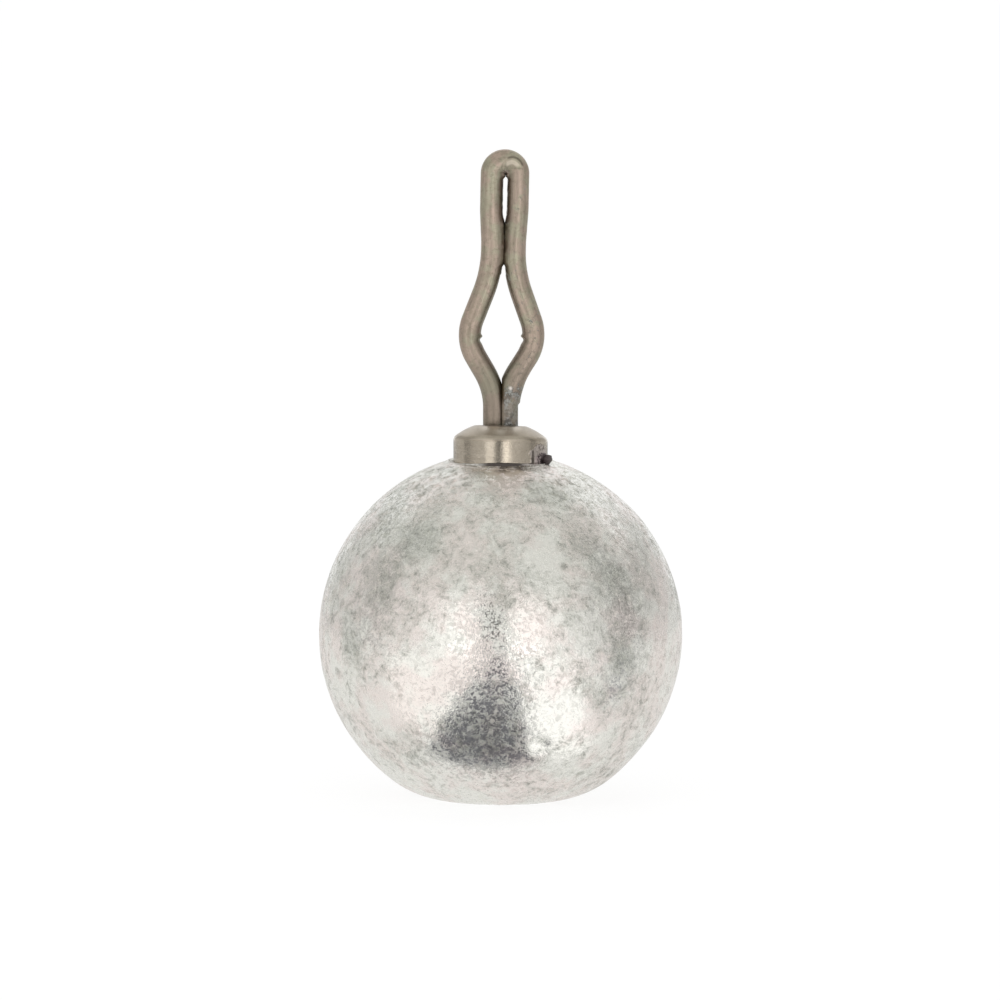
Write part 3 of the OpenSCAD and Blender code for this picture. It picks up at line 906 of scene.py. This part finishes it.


# %% [markdown]
# Under those marks the finish is the barrel's, with its lines drawn along the wire: the
# place that each vertex remembers is stretched, so the lines follow every bend, which a
# pattern in space wouldn't do. The same place tells the inner side, which is tarnished
# and painted with the shade between the legs, nearly black. The wire also grows darker
# towards the foot.

# %% Finish of the wire
def wire_nickel():
    """Nickel with lines along the wire, under its tarnish and painted shade, its darkening towards the
    foot and its marks.
    """
    f = Finish("wire_nickel")
    along = f.attribute("wire_place")
    inner = f.parts(along)[0]
    spot = f.millimetres()
    x, y, z = f.parts(spot)
    lines = f.cloud(f.stretched(along, (14.0, 14.0, 1.1)), 1.0, 3.0, 0.65)
    cloud = f.cloud(spot, 2.2, 4.0, 0.65)
    blush = f.cloud(spot, 1.3, 3.0, 0.6)
    grain = f.cloud(spot, 10.0, 3.0, 0.68)
    share = (cloud * 0.8 + lines * 1.5 - 0.70).limited()
    pale = f.tint(blush.between(0.44, 0.56), (0.54, 0.53, 0.40), (0.61, 0.475, 0.405))
    colour = f.tint(share, (0.35, 0.30, 0.235), pale)
    patches = f.cloud(spot, 4.5, 3.0, 0.6, 0.6).between(0.48, 0.62)
    colour = f.tint(patches * 0.3, colour, (0.27, 0.245, 0.185))
    colour = f.tint(grain.between(0.54, 0.68) * 0.4, colour, (0.21, 0.18, 0.145))
    # The wire is darker towards the foot.
    darker_to_foot = (1 - z.between(FOOT_Z - 0.3, FOOT_Z + 2.0)) * (0.7 + cloud * 0.6)
    colour = f.tint((darker_to_foot * 0.48).limited(), colour, (0.17, 0.15, 0.125))
    above = z.between(FOOT_Z - 0.2, FOOT_Z + 0.9)
    right_slot = z.between(NIP_Z - 0.8, NIP_Z) * x.between(0.10, 0.20)
    # The inner side is tarnished, and painted dark with the shade between the legs and in the slot.
    tarnish_and_shade = inner.between(0.09, 0.29) * (0.35 + cloud * 0.8) * (0.35 + above * 0.65)
    tarnish_and_shade = (tarnish_and_shade + inner.between(-0.06, 0.22) * right_slot * 0.35).limited()
    colour = f.tint(tarnish_and_shade * 0.55, colour, (0.08, 0.066, 0.048))
    colour = fold_marks(f, spot, colour)
    filed, crack = foot_masks(f, spot, cloud, grain)
    bare = f.tint(grain.between(0.42, 0.62), (0.12, 0.124, 0.123), (0.44, 0.455, 0.445))
    colour = f.tint(filed * 0.8, colour, bare)
    # A dark line is painted along the crack, darker from just under the foot upwards.
    crack_darkness = 0.1 + z.between(FOOT_Z - 0.55, FOOT_Z - 0.2) * 0.8
    colour = f.tint(crack * crack_darkness, colour, (0.10, 0.072, 0.035))
    nick = f.near(spot, (0.31, -0.33, FOOT_Z + 0.04), 0.085)
    colour = f.tint(nick, colour, (0.93, 0.87, 0.83))
    roughness = 0.28 + cloud * 0.12 + grain * 0.1 + filed * 0.1 + crack * 0.2
    relief = f.relief(grain * (0.5 + filed * 3) + lines, 0.008)
    return f.done(colour=colour, roughness=roughness, metallic=1.0, normal=relief)


clip = piece_from(bm, "folded_wire_clip", wire_nickel())
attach(clip, "clip")
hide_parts("line_clip")

# %% [markdown]
# ## The second wire, sealed in
# A swivel has two wires. The lower one lies in the glue, where nobody sees it, so a new
# mesh would be wasted on it. The CAD's own solid stays and gets the barrel's nickel,
# with marks that run the wire's way.

# %% Anchor eye
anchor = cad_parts["anchor_eye"]
anchor.data.materials.clear()
anchor.data.materials.append(warm_nickel("anchor_nickel", (10.0, 10.0, 2.0)))

# %% [markdown]
# ## Glue
# The barrel is set in two-part glue. One piece fills the socket and shows as a thin ring
# round the barrel's foot. The other is the lump that was squeezed out on the right, thin
# like a smear on the left and thick at its right end. Glue could be run as a fluid, but
# what shows is half a millimetre high, and simple closed shapes with uneven edges look the
# same. Both pieces share one finish: pale round the back, dark in front and in the lump.

# %% Finish of the glue
def cured_glue():
    """Pale grey glue, darker in front of the barrel and dark in the lump."""
    f = Finish("cured_glue")
    place = f.millimetres()
    cloud = f.cloud(place, 7.0, 3.0, 0.65)
    nub = (f.near(place, (1.50, -0.66, 10.62), 0.42) * 2.5).limited()
    dark = f.tint(cloud.between(0.40, 0.56) * (1 - nub * 0.9), (0.03, 0.019, 0.02), (0.44, 0.37, 0.355))
    x, y = f.parts(place)[:2]
    ring = f.tint(cloud.between(0.34, 0.50), (0.42, 0.40, 0.37), (0.74, 0.725, 0.68))
    # The ring is darker in front, under the barrel.
    front = (1 - abs(x - 0.10).between(0.45, 0.95)) * (1 - y.between(-1.0, -0.6))
    ring = f.tint(front * 0.95, ring, (0.04, 0.029, 0.025))
    colour = f.tint(f.near(place, SMEAR, 1.0), ring, dark)
    relief = f.relief(cloud, 0.015)
    return f.done(colour=colour, roughness=0.45 + cloud * 0.3, normal=relief, specular=0.3)


glue_finish = cured_glue()

# %% [markdown]
# The filling follows the socket outside and the barrel inside. Its upper edge is a
# small wave that climbs the front of the barrel, as the glue was pushed out there.

# %% Glue in the socket
bm = bmesh.new()
floor_z = SOCKET_FLOOR - 0.02
end = line(bm, bm.verts.new((0, 0, floor_z)), (SOCKET_R, 0, floor_z), 3)
end = line(bm, end, (SOCKET_R, 0, MOUTH_Z - 0.1), 6)
end = line(bm, end, (MOUTH_R - 0.01, 0, MOUTH_Z - 0.03), 3)
end = line(bm, end, (BARREL_R, 0, MOUTH_Z), 4)
end = line(bm, end, (BARREL_R, 0, 7.6), 6)
line(bm, end, (0, 0, 7.1), 3)
turned(bm, 192)
LIP = 0.08
for v in bm.verts:
    out_way = math.hypot(v.co.x, v.co.y)
    if v.co.z > MOUTH_Z - 0.12 and out_way > BARREL_R - 0.01:
        front = max(0.0, -v.co.y / out_way) ** 3
        wave = noise.noise(Vector((v.co.x, v.co.y, 0)) * 3.1) + 0.5 * noise.noise(v.co * 9)
        rise = front * (0.035 + 0.02 * wave) - 0.02 * (1 - front)
        v.co.z += rise + 0.045 * front * (BARREL_R + LIP - out_way) / LIP
glue_fill = piece_from(bm, "glue_in_socket", glue_finish)
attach(glue_fill, "weight")
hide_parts("glue")

# %% [markdown]
# The smear is a ball of vertices wrapped round the barrel: its width becomes an angle,
# its height stays, and its depth becomes a thin layer. The nub is a second, lumpy ball.

# %% The lump beside the barrel
bm = bmesh.new()
bmesh.ops.create_icosphere(bm, subdivisions=5, radius=1)
for v in bm.verts:
    u, out_way, w = v.co.x, -v.co.y, v.co.z
    shape = v.co.copy()
    angle = math.radians(66 + 22 * u)
    rise = 10.69 + w * (0.14 + 0.10 * bump_at(u, -0.2, 0.7)) + 0.05 * noise.noise(shape * 3)
    thick = 0.03 + 0.05 * bump_at(u, 0.45, 0.40) * bump_at(w, -0.1, 1.0)
    lumpy = 1 + 0.15 * noise.noise(shape * 4.1 + Vector((2, 0, 0))) + 0.05 * noise.noise(shape * 7)
    reach = BARREL_R - 0.02 + max(out_way, -0.3) * thick * lumpy
    v.co = Vector((math.sin(angle) * reach, -math.cos(angle) * reach, rise))
NUB_PLACE, NUB_SIZE, NUB_SLANT = Vector((1.435, -0.60, 10.68)), Vector((0.165, 0.22, 0.16)), 0.05
for v in bmesh.ops.create_icosphere(bm, subdivisions=4, radius=1)["verts"]:
    lumpy = 1 + 0.22 * noise.noise(v.co * 1.3 + Vector((4, 1, 0))) + 0.06 * noise.noise(v.co * 3.2)
    v.co = NUB_PLACE + (v.co * NUB_SIZE + Vector((v.co.z * NUB_SLANT, 0, 0))) * lumpy
glue_lump = piece_from(bm, "glue_lump", glue_finish)
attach(glue_lump, "weight")
